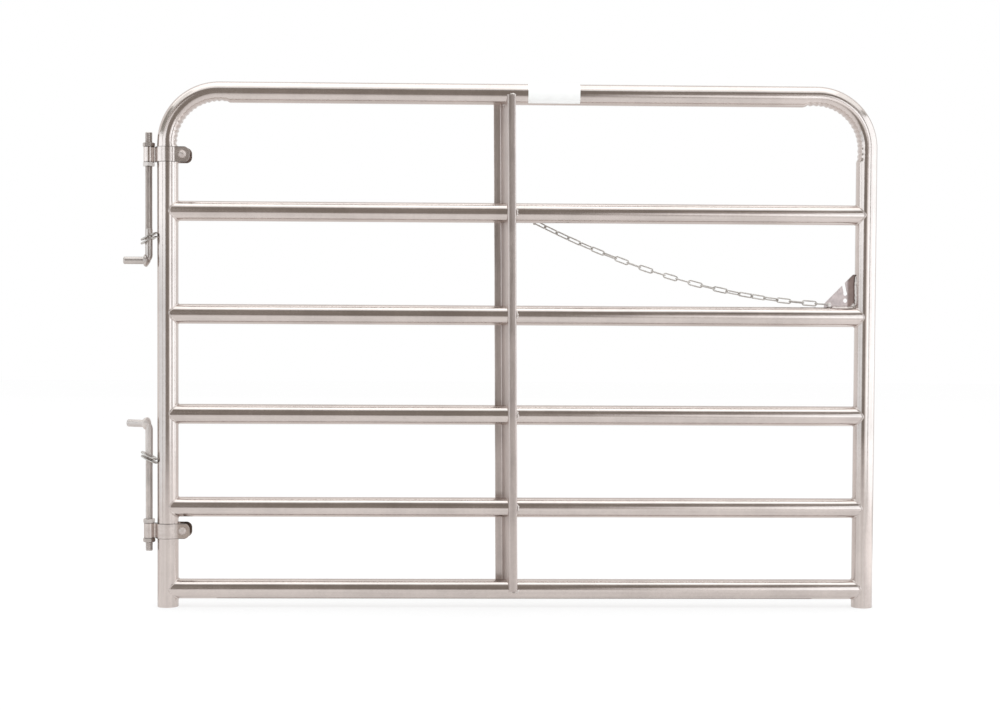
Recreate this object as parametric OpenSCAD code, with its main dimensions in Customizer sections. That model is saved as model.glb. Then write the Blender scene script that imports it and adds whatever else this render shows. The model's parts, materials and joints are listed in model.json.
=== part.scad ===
// Tubular field gate: one bent tube for the posts and the top bar, five rails coped
// and welded between the posts, a folded brace that the rails pass through, two strap
// hinges with their hook bolts, and a latch plate with a chain.
// The origin is on the hinge line at ground level. X runs from the hinges to the latch,
// Y to the back and Z up.

/* [Frame] */
// Overall width of the bent tube frame
frame_w = 1745; // [1500:5:2400]
// Outside diameter of the frame tube
tube_od = 50.8; // [46:0.1:60]
// Wall of the frame tube
tube_wall = 1.6; // [1.2:0.1:3]
// Centre-line radius of the two top bends
bend_r = 125; // [100:1:150]

/* [Rails] */
// Outside diameter of the rails
rail_od = 48.3; // [40:0.1:50]
// Wall of the rails
rail_wall = 1.6; // [1.2:0.1:3]
// Height of the lowest rail's axis above the ground
foot_h = 43; // [35:0.5:70]
// Axis to axis, fifth rail to fourth
gap_low = 199.5; // [180:0.1:240]
// Axis to axis, fourth rail to third
gap_fourth = 225.5; // [180:0.1:280]
// Axis to axis, third rail to second
gap_third = 242.2; // [200:0.1:300]
// Axis to axis, second rail to first
gap_second = 248.2; // [220:0.1:280]
// Axis to axis, first rail to the top bar
gap_top = 286.1; // [260:0.1:340]

/* [Brace] */
// Distance of the brace from the middle of the frame, towards the hinges
brace_off = 30.6; // [0:0.1:60]
// Sheet thickness of the brace
brace_t = 2.5; // [1.5:0.1:4]
// Width of the flange behind the rails
brace_back = 18.5; // [12:0.5:30]
// Width of the flange in front of the rails
brace_front = 19; // [12:0.5:30]
// Sideways run of the slanted web
brace_slant = 15; // [5:0.5:30]
// Lean of the brace, in degrees, its foot towards the latch
brace_lean = 0.5; // [0:0.1:1]
// How far the flanges reach past the rail's lower and the tube's upper quarter
brace_lap = 3; // [0:0.5:10]

// Radius of the weld lumps that hold the brace to the tubes
brace_lump_r = 8; // [5:0.5:10]

/* [Hinge straps] */
// Strap thickness
strap_t = 3.2; // [2.5:0.1:5]
// Strap height
strap_h = 36.8; // [30:0.1:45]
// Distance from the post's axis to the end of the ears
ear_reach = 55; // [50:0.5:65]
// Half the distance across the outsides of the ears
ear_half = 21; // [18:0.5:24]
// Corner radius of the ears
ear_corner = 14; // [5:0.5:18]
// Distance from the post's axis to the ear bolt
ear_bolt_x = 37.5; // [35:0.5:40]
// Diameter of the ear bolt
ear_bolt_d = 9.5; // [8:0.1:11]
// Diameter of the ear bolt's round head
ear_head_d = 20; // [14:0.1:24]
// Height of the ear bolt's round head
ear_head_h = 5.5; // [3:0.1:8]
// Height of the ear bolt's nut
ear_nut_h = 8; // [5:0.1:10]
// Size of the ear bolt's nut across the flats
ear_nut_af = 14.3; // [13:0.1:17]
// Length of the ear bolt that stands out of its nut
ear_bolt_out = 4; // [1:0.5:10]
// Slit between the strap's two folded halves
fold_gap = 1; // [0.5:0.1:2]
// Space between the upper strap and the start of the bend
strap_drop = 8; // [2:0.5:30]
// Space between the lower strap and the fourth rail
strap_space = 15; // [5:0.5:40]

/* [Hook bolts] */
// Diameter of the hook bolts
rod_d = 17.9; // [12:0.1:20]
// Clear space between a hook bolt and the post
rod_space = 11.15; // [11:0.05:18]
// Length of the upright leg, from its end to the other leg's axis
rod_len = 308; // [260:1:400]
// Length of the thread that stands out of the upper hinge's end nut
upper_rod_out = 25; // [10:0.1:40]
// Length of the thread that stands out of the lower hinge's end nut
lower_rod_out = 21.2; // [10:0.1:40]
// Length of the pin leg, from the upright leg's axis
pin_len = 60.5; // [50:0.5:120]
// Centre-line radius of the bend between the two legs
hook_r = 14; // [12:0.5:25]
// Chamfer at both ends of a hook bolt
rod_chamfer = 1.5; // [0.5:0.1:3]
// Diameter of the forged collar at the foot of the pin leg
collar_d = 31; // [26:0.5:36]
// Diameter of the collar's face, towards the pin
collar_face_d = 27; // [24:0.5:34]
// Distance of the collar's face from the upright leg's axis
collar_x = 11.5; // [10:0.1:14]
// Thickness of the collar
collar_t = 7; // [4:0.1:9]
// Angle of the upper pin leg towards the back, in degrees
upper_hook_turn = 0; // [-30:1:60]
// Angle of the lower pin leg towards the back, in degrees
lower_hook_turn = 24; // [-30:1:60]
// Nut size across the flats
nut_af = 25.4; // [24:0.1:30]
// Nut height
nut_h = 9.5; // [6:0.1:14]
// Outside diameter of the loose washers
washer_od = 42.6; // [42:0.1:46]
// Thickness of the loose washers
washer_t = 2.9; // [2:0.1:5]
// Height of the lower washer of the upper pair above the upper pin leg
upper_washer_rise = 49; // [40:1:120]
// Distance of the upper washer of the lower pair below the lower pin leg
lower_washer_fall = 77; // [40:1:120]
// Distance between the washers of a pair, along the bolt
washer_step = 9.2; // [6:0.1:20]

/* [Latch] */
// Width of the latch plate, from the post
plate_w = 74.5; // [60:0.5:100]
// Height of the latch plate, above its rail
plate_h = 79.5; // [70:0.5:100]
// Thickness of the latch plate
plate_t = 5; // [3:0.1:8]
// Height of the plate's blunt lower corner
plate_nose = 8; // [4:0.5:12]
// Width of the plate's upper tip, at the post
plate_tip = 4; // [2:0.5:8]
// Length of the plate's edges that is left without a bead, at both ends
bead_end = 10; // [5:0.5:20]
// Width of the chain slot
slot_w = 8.6; // [7:0.1:10]
// Width of the slot's round lower end
slot_end_d = 10.4; // [8:0.1:11]
// Lean of the slot away from the post, in degrees
slot_lean = 11; // [0:0.5:20]
// Distance of the slot and the hole from the post's surface
slot_in = 23; // [18:0.5:30]
// Height of the slot's lower end above the rail
slot_rise = 33; // [28:0.5:40]
// Diameter of the lower hole
latch_hole_d = 10.6; // [8:0.1:12]
// Height of the lower hole's axis above the rail
latch_hole_rise = 16; // [13:0.5:18]

/* [Chain] */
// Wire of the chain links
wire_d = 3.4; // [2.5:0.1:4]
// Outside width of a link
link_w = 14; // [13:0.1:16]
// Number of links, the last of them welded to the latch plate
link_count = 24; // [16:1:36]
// How far the chain hangs below a straight line, at its middle
chain_sag = 42; // [20:1:44]
// How far the links turn about the chain towards its middle, in degrees
chain_twist = 69; // [0:1:80]
// Distance of the keeper stud from the brace
keeper_in = 43.5; // [25:0.5:80]
// Angle of the keeper stud below the level, in degrees
keeper_drop = 40; // [30:1:50]
// Distance of the chain's end from the rail's surface
keeper_stand = 6; // [5:0.5:9]
// Diameter of the keeper stud
keeper_d = 4; // [3:0.1:4.5]
// Diameter of the keeper stud's head
keeper_head_d = 7.2; // [6:0.1:9]
// Thickness of the keeper stud's head
keeper_head_h = 2; // [1:0.1:4]
// Half the length of the butt weld that closes a link
butt_half = 2; // [1:0.1:4]
// Thickness of the butt weld over the wire
butt_t = 0.2; // [0.1:0.05:0.4]
// How far the last link laps over the latch plate
anchor_lap = 11; // [4:0.5:14]
// Height of the last link's end above the rail
anchor_rise = 6.5; // [5:0.5:8]
// Radius of the weld lumps that hold the last link to the plate
anchor_lump_r = 5; // [4:0.1:8]

/* [Label] */
// Distance of the blank label from the brace's front flange
label_in = 25; // [10:1:60]
// Length of the blank label
label_len = 125; // [60:1:200]
// How far round the top bar the label reaches above the front, in degrees
label_up = 105; // [60:5:120]
// How far round the top bar the label reaches below the front, in degrees
label_down = 60; // [30:5:90]
// Thickness of the label
label_t = 0.3; // [0.2:0.05:0.5]

/* [Fits] */
// Space between a piece and what it is welded to or rests against
seat_gap = 0.3; // [0.1:0.05:0.5]
// Radial space between a hook bolt and its eye or its washers
rod_gap = 0.4; // [0.2:0.05:0.8]
// Space between the brace's flanges and the frame tube
brace_gap = 0.5; // [0.3:0.05:1]
// Space where two chain links bear on each other
link_gap = 0.4; // [0.2:0.05:0.5]
// Space round a bolt in a nut or under a weld
close_gap = 0.05; // [0.02:0.01:0.1]
// Thickness of the weld beads
weld_t = 3; // [2:0.1:4]

/* [Hidden] */
$fn = 64;

// Radii
tube_r = tube_od / 2;
rail_r = rail_od / 2;
rod_r = rod_d / 2;
wire_r = wire_d / 2;
keeper_r = keeper_d / 2;

// Places of the posts and of the rails, the first rail being the highest
left_x = rod_r + rod_space + tube_r;
right_x = left_x + frame_w - tube_od;
rail_gaps = [gap_low, gap_fourth, gap_third, gap_second];
function rail_z(i) = i == 5 ? foot_h : rail_z(i + 1) + rail_gaps[4 - i];
top_z = rail_z(1) + gap_top;
bend_z = top_z - bend_r;

// Strap and hook places; side is 1 for the upper hinge and -1 for the lower one
upper_strap_z = bend_z - strap_drop - strap_h / 2;
lower_strap_z = rail_z(4) - rail_r - strap_space - strap_h / 2;
function strap_z(side) = side > 0 ? upper_strap_z : lower_strap_z;
function rod_out(side) = side > 0 ? upper_rod_out : lower_rod_out;
function hook_turn(side) = side > 0 ? upper_hook_turn : lower_hook_turn;
function rod_end_z(side) = strap_z(side) + side * (strap_h / 2 + seat_gap + nut_h + rod_out(side));
function pin_z(side) = rod_end_z(side) - side * rod_len;
ear_head_r = ear_head_d / 2;
eye_ir = rod_r + rod_gap;
eye_or = eye_ir + strap_t;
wrap_ir = tube_r + close_gap;
wrap_or = wrap_ir + strap_t;

// The neck between eye and wrap is closed by a round that touches both. Its lowest
// point is half a folded strap from the middle: height h, radius r, centre at x = u.
neck_half = strap_t + fold_gap / 2;
neck_a = 2 * (eye_or - neck_half);
neck_b = 2 * (wrap_or - neck_half);
neck_a2 = eye_or * eye_or - neck_half * neck_half;
neck_b2 = wrap_or * wrap_or - neck_half * neck_half;
neck_k = neck_b / neck_a - 1;
neck_c = neck_b2 - neck_a2 * neck_b / neck_a - left_x * left_x;
neck_u = (sqrt(left_x * left_x - neck_k * neck_c) - left_x) / neck_k;
neck_r = (neck_u * neck_u - neck_a2) / neck_a;

// A washer leans until its rim meets the post, and its hole clears the bolt
washer_r = washer_od / 2;
washer_room = left_x - tube_r - seat_gap;
washer_diag = norm([washer_r, washer_t / 2]);
washer_tilt = acos(washer_room / washer_diag) + atan(washer_t / washer_od);
washer_ir = (rod_d + 2 * rod_gap + washer_t * sin(washer_tilt)) / cos(washer_tilt) / 2;

// Brace: its flanges lie in front of and behind the tubes
brace_x = (left_x + right_x) / 2 - brace_off;
brace_in = tube_r + brace_gap;
brace_out = brace_in + brace_t;
brace_z0 = rail_z(5) - brace_lap;
brace_z1 = top_z - brace_lap;
brace_mid_z = (brace_z0 + brace_z1) / 2;
web_z0 = rail_z(5) + rail_r + seat_gap;
web_z1 = top_z - tube_r - seat_gap;
brace_edge_x = brace_x + brace_slant / 2 + brace_front;
function brace_shift(z) = (brace_mid_z - z) * tan(brace_lean);

// Latch plate
plate_z = rail_z(2) + rail_r + seat_gap;
plate_x1 = right_x - tube_r - seat_gap;
plate_x0 = plate_x1 - plate_w;
slot_x = plate_x1 - slot_in;
// The plate's inner corner is cut off, clear of the rail's own weld
plate_snipe = 2.8 * weld_t + seat_gap / 3;

// Chain: a parabola from the keeper stud to the plate's blunt corner. Joint i is where
// link i ends and link i + 1 begins, and the joints are one step apart along the curve.
chain_end = [plate_x0 + anchor_lap, 0, plate_z + anchor_rise];
lump_x = chain_end[0] + wire_d / 2;
keeper_far = rail_r + keeper_stand;
keeper_at = [
    brace_edge_x + keeper_in,
    keeper_far * cos(keeper_drop),
    rail_z(1) - keeper_far * sin(keeper_drop)
];
keeper_dir = chain_end - keeper_at - [0, 0, 4 * chain_sag];
chain_start = keeper_at - keeper_dir / norm(keeper_dir) * (keeper_r + link_gap / 2);
chain_run = chain_end - chain_start;
function chain_at(t) = chain_start + chain_run * t - [0, 0, 4 * chain_sag * t * (1 - t)];
function chain_rate(t) = norm(chain_run - [0, 0, 4 * chain_sag * (1 - 2 * t)]);
function total(list, i = 0) = i == len(list) ? 0 : list[i] + total(list, i + 1);
arc_parts = 100;
arc_len = total([for (i = [1 : arc_parts]) norm(chain_at(i / arc_parts) - chain_at((i - 1) / arc_parts))]);
link_step = arc_len / link_count;
function next_t(t, n = 4, guess = 0) =
    n == 0 ? t + guess : next_t(t, n - 1, link_step / chain_rate(t + guess / 2));
function joint_t(i) = i == 0 ? 0 : next_t(joint_t(i - 1));
joints = [for (i = [0 : link_count]) chain_at(joint_t(i))];
link_half = (link_w - wire_d) / 2;
link_long = link_step + wire_d + link_gap;
free_links = link_count - 1;
// The first link lies as its stud does, and the last one lies level
function link_share(i) = (i - 1) / free_links;
function link_roll(i) =
    90 * i - keeper_drop * (1 - link_share(i)) - chain_twist * pow(sin(180 * link_share(i)), 2);

// Colours
galvanised = [0.74, 0.73, 0.71];
brace_grey = [0.55, 0.54, 0.52];
zinc_grey = [0.58, 0.57, 0.55];
weld_grey = [0.8, 0.79, 0.77];
label_white = [0.96, 0.96, 0.95];

// What each hinge has, with its side
SIDES = [["upper", 1], ["lower", -1]];

// A round bar along X
module bar_x(x0, x1, r) {
    translate([x0, 0, 0]) rotate([0, 90, 0]) cylinder(h = x1 - x0, r = r);
}

// A round bar along Y
module bar_y(y0, y1, r) {
    translate([0, y0, 0]) rotate([-90, 0, 0]) cylinder(h = y1 - y0, r = r);
}

module tube_section() {
    difference() {
        circle(r = tube_r);
        circle(r = tube_r - tube_wall);
    }
}

module tube_bend(x, turn) {
    translate([x, 0, bend_z]) rotate([90, 0, 0]) rotate([0, 0, turn])
        rotate_extrude(angle = 90) translate([bend_r, 0]) tube_section();
}

module frame_tube() {
    color(galvanised) {
        for (x = [left_x, right_x]) translate([x, 0, 0]) linear_extrude(bend_z) tube_section();
        translate([left_x + bend_r, 0, top_z]) rotate([0, 90, 0])
            linear_extrude(frame_w - tube_od - 2 * bend_r) tube_section();
        tube_bend(left_x + bend_r, 90);
        tube_bend(right_x - bend_r, 0);
    }
}

module posts(grow) {
    for (x = [left_x, right_x]) translate([x, 0, 0]) cylinder(h = top_z, r = tube_r + grow);
}

module rail(i) {
    color(galvanised) difference() {
        translate([0, 0, rail_z(i)]) difference() {
            bar_x(left_x, right_x, rail_r);
            bar_x(left_x, right_x, rail_r - rail_wall);
        }
        posts(seat_gap);
    }
}

// The bead that fills the corner all round one rail end
module saddle_weld(x, side, z) {
    bead_x0 = side > 0 ? x + weld_t : x - tube_od;
    bead_x1 = side > 0 ? x + tube_od : x - weld_t;
    difference() {
        intersection() {
            translate([x, 0, z - rail_od]) cylinder(h = 2 * rail_od, r = tube_r + weld_t);
            translate([0, 0, z]) bar_x(bead_x0, bead_x1, rail_r + weld_t);
        }
        translate([x, 0, z - 2 * rail_od]) cylinder(h = 4 * rail_od, r = tube_r + close_gap);
        translate([0, 0, z]) bar_x(x - tube_od, x + tube_od, rail_r + close_gap);
    }
}

module post_welds(x, side) {
    color(weld_grey) for (i = [1 : 5]) saddle_weld(x, side, rail_z(i));
}

// Leans what is drawn upright at the brace's middle height
module leaned() {
    translate([brace_x, 0, brace_mid_z]) rotate([0, -brace_lean, 0])
        translate([-brace_x, 0, -brace_mid_z]) children();
}

module brace_flange(x, w, y) {
    translate([x, y, brace_z0]) cube([w, brace_t, brace_z1 - brace_z0]);
}

module z_brace() {
    half = brace_slant / 2;
    web = brace_t / cos(atan(brace_slant / (2 * brace_in)));
    color(brace_grey) difference() {
        leaned() {
            brace_flange(brace_x - half - brace_back, brace_back + web / 2, brace_in);
            brace_flange(brace_x + half - web / 2, brace_front + web / 2, -brace_out);
            translate([brace_x, 0, web_z0]) linear_extrude(web_z1 - web_z0) polygon([
                [-half - web / 2, brace_in + brace_t / 2],
                [-half + web / 2, brace_in + brace_t / 2],
                [half + web / 2, -brace_in - brace_t / 2],
                [half - web / 2, -brace_in - brace_t / 2]
            ]);
        }
        for (i = [1 : 4]) translate([0, 0, rail_z(i)])
            bar_x(brace_x - tube_od, brace_x + tube_od, rail_r + seat_gap);
    }
}

// The lump that holds the front flange's edge to one tube
module brace_weld(z, r) {
    x = brace_edge_x + brace_shift(z);
    difference() {
        translate([x + brace_lump_r / 8, brace_lump_r / 2 - brace_in, z]) sphere(r = brace_lump_r);
        translate([0, 0, z]) bar_x(x - 2 * brace_lump_r, x + 2 * brace_lump_r, r + close_gap);
        leaned() translate([brace_x, -tube_od, brace_z0 - tube_od])
            cube([brace_edge_x - brace_x + close_gap, 2 * tube_od, brace_z1 - brace_z0 + 2 * tube_od]);
    }
}

module brace_welds() {
    color(weld_grey) {
        brace_weld(top_z, tube_r);
        for (i = [1 : 5]) brace_weld(rail_z(i), rail_r);
    }
}

// Plan of a hinge strap: the eye, the neck, the wrap and the two ears
module strap_plan() {
    difference() {
        union() {
            circle(r = eye_or);
            translate([left_x, 0]) circle(r = wrap_or);
            for (m = [0, 1]) mirror([0, m]) difference() {
                polygon([[0, 0], [left_x, 0], [neck_u, neck_half + neck_r]]);
                translate([neck_u, neck_half + neck_r]) circle(r = neck_r);
            }
            translate([left_x, -ear_half]) square([ear_reach, 2 * ear_half]);
        }
        circle(r = eye_ir);
        translate([left_x, 0]) circle(r = wrap_ir);
        translate([0, -fold_gap / 2]) square([left_x, fold_gap]);
        translate([left_x, strap_t - ear_half]) square([2 * ear_reach, 2 * (ear_half - strap_t)]);
    }
}

// Keeps the ears' round corners
module ear_side() {
    x = left_x + ear_reach - ear_corner;
    h = strap_h / 2;
    translate([-eye_or, -h]) square([x + eye_or, strap_h]);
    translate([x - 1, ear_corner - h]) square([ear_corner + 1, strap_h - 2 * ear_corner]);
    for (s = [-1, 1]) translate([x, s * (h - ear_corner)]) circle(r = ear_corner);
}

module strap(side) {
    color(galvanised) translate([0, 0, strap_z(side)]) difference() {
        intersection() {
            translate([0, 0, -strap_h / 2]) linear_extrude(strap_h) strap_plan();
            translate([0, 2 * wrap_or, 0]) rotate([90, 0, 0]) linear_extrude(4 * wrap_or) ear_side();
        }
        translate([left_x + ear_bolt_x, 0, 0]) bar_y(-2 * ear_half, 2 * ear_half, ear_bolt_d / 2 + rod_gap);
    }
}

// The round head is a slice of a ball
module strap_bolt(side) {
    ball_r = (ear_head_r * ear_head_r + ear_head_h * ear_head_h) / (2 * ear_head_h);
    color(zinc_grey) translate([left_x + ear_bolt_x, 0, strap_z(side)]) {
        bar_y(-ear_half, ear_half + ear_nut_h + ear_bolt_out, ear_bolt_d / 2);
        intersection() {
            bar_y(-ear_half - ear_head_h, -ear_half, ear_head_r);
            translate([0, ball_r - ear_half - ear_head_h, 0]) sphere(r = ball_r);
        }
    }
}

// A hexagon nut on Z with its corners turned off at both ends
module nut(af, h, bore_r) {
    corner = af / sqrt(3);
    lift = (corner - af / 2) * tan(30);
    difference() {
        intersection() {
            cylinder(h = h, r = corner, $fn = 6);
            union() {
                cylinder(h = lift, r1 = af / 2, r2 = corner);
                translate([0, 0, lift]) cylinder(h = h - 2 * lift, r = corner);
                translate([0, 0, h - lift]) cylinder(h = lift, r1 = corner, r2 = af / 2);
            }
        }
        translate([0, 0, -h]) cylinder(h = 3 * h, r = bore_r);
    }
}

module strap_nut(side) {
    color(zinc_grey) translate([left_x + ear_bolt_x, ear_half, strap_z(side)])
        rotate([-90, 0, 0]) nut(ear_nut_af, ear_nut_h, ear_bolt_d / 2 + close_gap);
}

// Drawn for the upper hinge, and turned over for the lower one
module hook_bolt(side) {
    straight = rod_len - hook_r;
    color(zinc_grey) translate([0, 0, pin_z(side)]) mirror([0, 0, side > 0 ? 0 : 1])
        rotate([0, 0, 180 - hook_turn(side)]) {
            translate([0, 0, hook_r]) cylinder(h = straight - rod_chamfer, r = rod_r);
            translate([0, 0, rod_len - rod_chamfer])
                cylinder(h = rod_chamfer, r1 = rod_r, r2 = rod_r - rod_chamfer);
            translate([hook_r, 0, hook_r]) rotate([90, 0, 0]) rotate([0, 0, 180])
                rotate_extrude(angle = 90) translate([hook_r, 0]) circle(r = rod_r);
            bar_x(hook_r, pin_len - rod_chamfer, rod_r);
            translate([collar_x - collar_t, 0, 0]) rotate([0, 90, 0])
                cylinder(h = collar_t, d1 = collar_d, d2 = collar_face_d);
            translate([pin_len - rod_chamfer, 0, 0]) rotate([0, 90, 0])
                cylinder(h = rod_chamfer, r1 = rod_r, r2 = rod_r - rod_chamfer);
        }
}

// The end nut lies on the thread's side of the strap, the inner nut on the other.
// A corner of the end nut and a flat of the inner nut face the post.
module hook_nut(side, outer) {
    up = side * outer;
    face = strap_z(side) + up * (strap_h / 2 + seat_gap);
    color(zinc_grey) translate([0, 0, up > 0 ? face : face - nut_h]) rotate([0, 0, outer > 0 ? 0 : 30])
        nut(nut_af, nut_h, rod_r + close_gap);
}

// Two washers on each bolt, leaning against the post
module washer(side, i) {
    z = side > 0 ? pin_z(1) + upper_washer_rise : pin_z(-1) - lower_washer_fall;
    color(zinc_grey) translate([0, 0, z + side * (i - 1) * washer_step])
        rotate([0, -side * washer_tilt, 0]) difference() {
            translate([0, 0, -washer_t / 2]) cylinder(h = washer_t, r = washer_r);
            translate([0, 0, -washer_t]) cylinder(h = 2 * washer_t, r = washer_ir);
        }
}

module plate_outline() {
    difference() {
        polygon([
            [plate_x0, plate_z],
            [plate_x1 - plate_snipe, plate_z],
            [plate_x1, plate_z + plate_snipe],
            [plate_x1, plate_z + plate_h],
            [plate_x1 - plate_tip, plate_z + plate_h],
            [plate_x0, plate_z + plate_nose]
        ]);
        translate([slot_x, plate_z + slot_rise]) {
            circle(d = slot_end_d);
            rotate(slot_lean) translate([-slot_w / 2, 0]) square([slot_w, plate_h]);
        }
    }
}

module latch_plate() {
    color(brace_grey) difference() {
        translate([0, plate_t / 2, 0]) rotate([90, 0, 0]) linear_extrude(plate_t) plate_outline();
        translate([slot_x, 0, plate_z + latch_hole_rise]) bar_y(-plate_t, plate_t, latch_hole_d / 2);
    }
}

// A bead along the rail and one up the post, on each face of the plate
module plate_welds() {
    bead_r = weld_t * 4 / 3;
    foot = plate_t / 2 + close_gap;
    color(weld_grey) for (m = [0, 1]) mirror([0, m, 0]) difference() {
        union() {
            translate([0, -foot, plate_z])
                bar_x(lump_x + anchor_lump_r + close_gap, plate_x1 - plate_snipe, bead_r);
            translate([plate_x1, -foot, plate_z + plate_snipe])
                cylinder(h = plate_h - plate_snipe - bead_end, r = bead_r);
        }
        translate([plate_x0, -foot, plate_z - plate_h]) cube([2 * plate_w, plate_w, 3 * plate_h]);
        translate([0, 0, rail_z(2)]) bar_x(left_x, right_x, rail_r + close_gap);
        translate([right_x, 0, plate_z - plate_h]) cylinder(h = 3 * plate_h, r = tube_r + close_gap);
    }
}

// One round end of a link, towards X
module link_end(reach, r) {
    translate([reach, 0, 0]) rotate([0, 0, -90])
        rotate_extrude(angle = 180) translate([link_half, 0]) circle(r = r);
}

// One long link along X, lying flat, closed by a butt weld on one side
module link_body(grow) {
    r = wire_r + grow;
    reach = link_long / 2 - link_half;
    translate([0, link_half, 0]) bar_x(-reach, reach, r);
    link_end(reach, r);
    rotate([0, 0, 180]) link_end(reach, r);
    translate([0, -link_half, 0]) {
        bar_x(-reach, -butt_half / 2, r);
        bar_x(butt_half / 2, reach, r);
        bar_x(-butt_half, butt_half, r + butt_t);
    }
}

// Lays link i between its two joints
module link(i, grow = 0) {
    run = joints[i] - joints[i - 1];
    lift = atan2(run[2], norm([run[0], run[1]]));
    translate((joints[i] + joints[i - 1]) / 2)
        rotate([link_roll(i), -lift, atan2(run[1], run[0])]) link_body(grow);
}

module chain_link(i) {
    color(zinc_grey) link(i);
}

// The last link straddles the latch plate's blunt corner, and its end is cut away for the plate
module chain_anchor() {
    color(zinc_grey) difference() {
        link(link_count);
        translate([plate_x0 - seat_gap, -plate_t / 2 - close_gap, plate_z])
            cube([plate_w, plate_t + 2 * close_gap, plate_h]);
    }
}

// A lump on each face of the plate, over the end of the last link
module anchor_weld() {
    face_y = plate_t / 2 + close_gap;
    wide = 4 * anchor_lump_r;
    color(weld_grey) for (side = [-1, 1]) difference() {
        translate([lump_x, side * plate_t / 2, chain_end[2]]) sphere(r = anchor_lump_r);
        link(link_count, close_gap);
        translate([lump_x - wide / 2, side < 0 ? -face_y : face_y - wide, plate_z - wide / 2])
            cube([wide, wide, 2 * wide]);
        translate([0, 0, rail_z(2)]) bar_x(left_x, right_x, rail_r + close_gap);
    }
}

// A headed stud behind the first rail, over which the chain's free end is hung
module chain_keeper() {
    stud = keeper_stand + wire_d + keeper_head_h;
    color(zinc_grey) difference() {
        translate([keeper_at[0], 0, rail_z(1)]) rotate([-keeper_drop, 0, 0]) {
            bar_y(rail_r - rail_wall, rail_r + stud, keeper_r);
            bar_y(rail_r + stud, rail_r + stud + keeper_head_h, keeper_head_d / 2);
        }
        translate([0, 0, rail_z(1)]) bar_x(left_x, right_x, rail_r + close_gap);
    }
}

module label() {
    color(label_white) translate([brace_edge_x + label_in, 0, top_z]) rotate([0, 90, 0])
        rotate([0, 0, -90 - label_up]) rotate_extrude(angle = label_up + label_down)
            translate([tube_r + close_gap, 0]) square([label_t, label_len]);
}

frame_tube();
z_brace();
post_welds(left_x, 1);  // left_welds
post_welds(right_x, -1);  // right_welds
brace_welds();
for (i = [1 : 5]) {
    rail(i);
}
for (s = SIDES) {
    strap(s[1]);
    strap_bolt(s[1]);
    strap_nut(s[1]);
    hook_bolt(s[1]);
    hook_nut(s[1], 1);
    hook_nut(s[1], -1);
    washer(s[1], 1);
    washer(s[1], 2);
}
latch_plate();
plate_welds();
chain_anchor();
anchor_weld();
chain_keeper();
label();
for (i = [1 : free_links]) {
    chain_link(i);
}
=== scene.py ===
"""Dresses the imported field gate: bent tube with crimped corners, rails, welds, hook bolts and finishes."""
import json
import math

import bpy
import numpy as np
from bpy.props import FloatProperty, FloatVectorProperty, IntProperty, PointerProperty
from mathutils import Matrix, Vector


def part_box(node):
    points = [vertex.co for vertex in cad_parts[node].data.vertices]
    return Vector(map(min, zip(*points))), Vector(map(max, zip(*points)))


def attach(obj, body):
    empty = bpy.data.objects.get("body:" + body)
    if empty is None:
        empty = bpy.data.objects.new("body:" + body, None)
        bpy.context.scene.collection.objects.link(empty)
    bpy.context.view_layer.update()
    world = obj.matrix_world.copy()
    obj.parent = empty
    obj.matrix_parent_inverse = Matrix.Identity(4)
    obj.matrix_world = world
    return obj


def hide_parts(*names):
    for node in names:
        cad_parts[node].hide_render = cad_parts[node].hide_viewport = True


bl_info = {
    "name": "Field gate",
    "version": (1, 0, 0),
    "blender": (4, 5, 0),
    "location": "3D View > Sidebar > Gate",
    "description": "Builds the visible pieces of a tubular field gate round its packed solids",
    "category": "Object",
}

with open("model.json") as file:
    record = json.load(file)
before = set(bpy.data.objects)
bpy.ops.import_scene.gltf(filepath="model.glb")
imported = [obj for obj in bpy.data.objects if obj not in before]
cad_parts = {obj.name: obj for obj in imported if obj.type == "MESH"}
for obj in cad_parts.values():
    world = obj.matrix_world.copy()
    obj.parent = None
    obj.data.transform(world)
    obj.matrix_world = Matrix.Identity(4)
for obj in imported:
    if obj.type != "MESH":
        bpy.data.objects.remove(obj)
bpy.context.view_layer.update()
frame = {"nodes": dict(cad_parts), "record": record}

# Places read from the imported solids, in metres
TUBE_LO, TUBE_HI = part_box("frame_tube")
TUBE_R = (TUBE_HI.y - TUBE_LO.y) / 2
LEFT_X = TUBE_LO.x + TUBE_R
RIGHT_X = TUBE_HI.x - TUBE_R
TOP_Z = TUBE_HI.z - TUBE_R
BEND_R = 0.125
TUBE_WALL = 0.0016
RAIL_NAMES = [f"rail_{i}" for i in range(1, 6)]
RAIL_BOXES = [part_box(name) for name in RAIL_NAMES]
RAIL_Z = [(lo.z + hi.z) / 2 for lo, hi in RAIL_BOXES]
RAIL_R = (RAIL_BOXES[0][1].y - RAIL_BOXES[0][0].y) / 2
SEAT_GAP = 0.0003
ROD_R = 0.00895
ROD_CHAMFER = 0.0015
HOOK_R = 0.014
COLLAR_R = 0.0155
BRACE_LO, BRACE_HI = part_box("z_brace")
BRACE_SLANT, BRACE_BACK, BRACE_FRONT = 0.015, 0.0185, 0.019
BRACE_LEAN = math.tan(math.radians(0.5))
BEAD_ROWS = 60
MOUNTS = {mount["name"]: mount for mount in frame["record"]["mounts"]}
UP = np.array([0.0, 0.0, 1.0])
BACK = np.array([0.0, 1.0, 0.0])


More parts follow.
